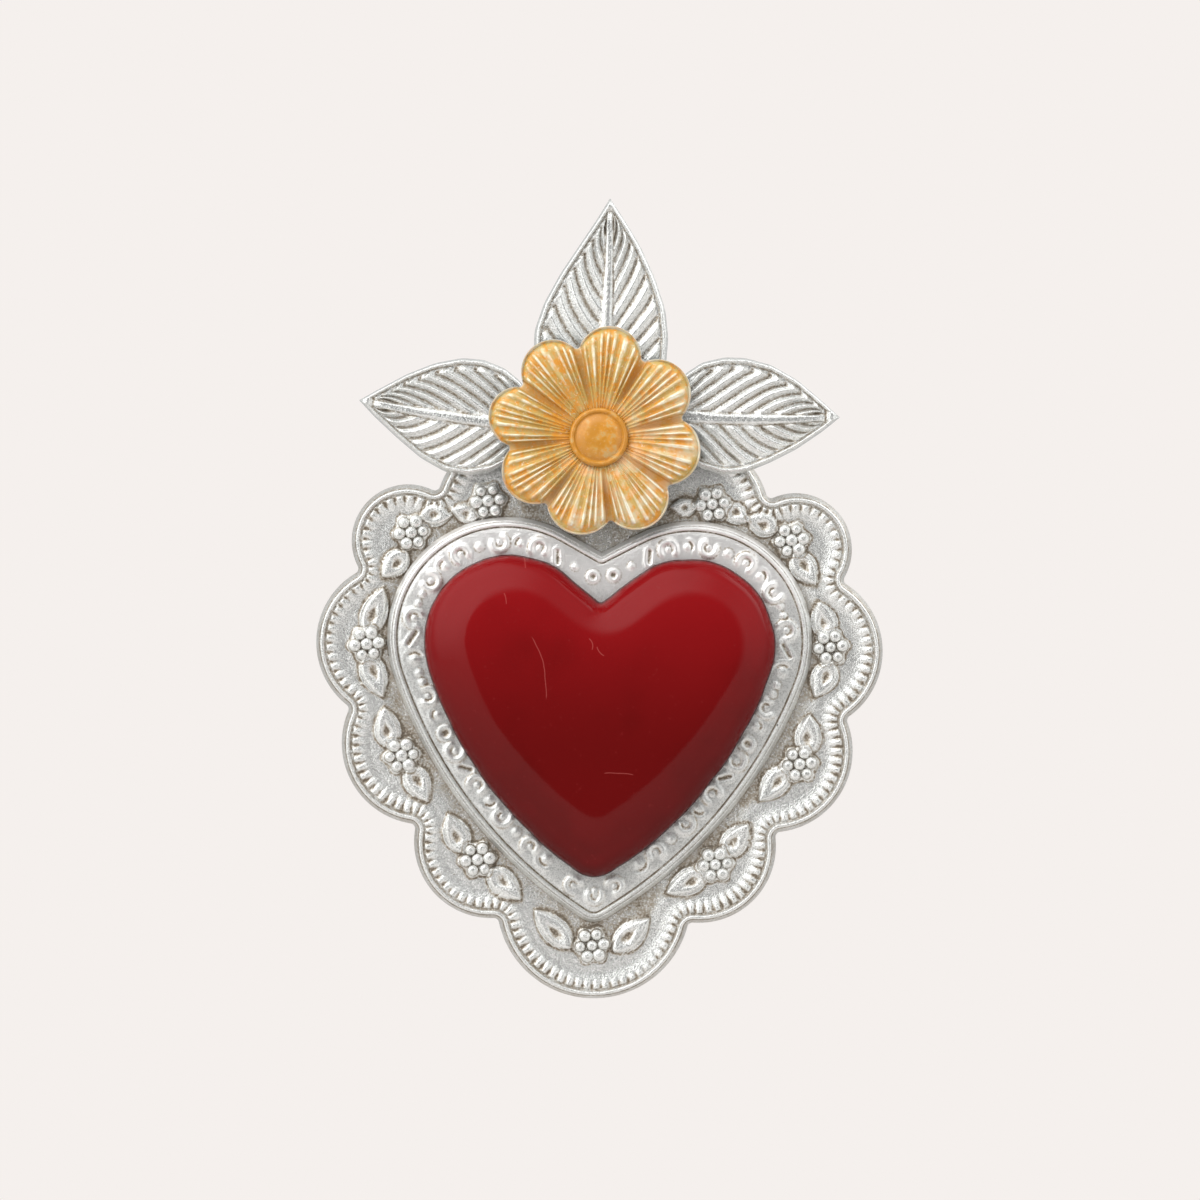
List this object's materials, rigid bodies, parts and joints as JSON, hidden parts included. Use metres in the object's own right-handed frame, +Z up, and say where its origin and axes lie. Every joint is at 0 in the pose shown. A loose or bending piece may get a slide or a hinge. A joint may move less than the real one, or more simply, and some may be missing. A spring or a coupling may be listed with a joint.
{
  "type": "tin heart ornament",
  "caption": "Hand-worked tin wall ornament: scalloped embossed plate, raised heart border, red heart dome, veined leaves, painted flower and a wire hanging ring.",
  "frame": {"origin": "the hanging point: the inside of the hanging ring's top, where a nail bears, with the ring up", "axes": "+Z up as the ornament hangs, +X to the right seen from the front, -Y out of the decorated front, +Y towards the wall"},
  "size_m": [0.1266, 0.014, 0.1781],
  "materials": {
    "tin": "bright satin tinplate with brown patina in the hollows",
    "red_enamel": "glossy deep red enamel",
    "ochre_paint": "ochre gold paint, worn pale on the ridges",
    "wire": "drawn steel wire",
    "solder": "dull solder"
  },
  "bodies": {
    "ornament": {"base_plate": "tin", "heart_frame": "tin", "heart_dome": "red_enamel", "leaf_top": "tin", "leaf_left": "tin", "leaf_right": "tin", "flower": "ochre_paint", "flower_cap": "ochre_paint", "hanger_strap": "tin", "solder_frame": "solder", "solder_dome": "solder", "solder_leaves": "solder", "solder_flower": "solder"},
    "ring": {"hanger_ring": "wire"}
  },
  "joints": [
    {"name": "ring_swing", "type": "hinge", "parent": "ornament", "child": "ring", "pos_m": [0, 0.00019, -0.0104], "axis": [-1, 0, 0], "range_deg": [0, 177.5]}
  ]
}
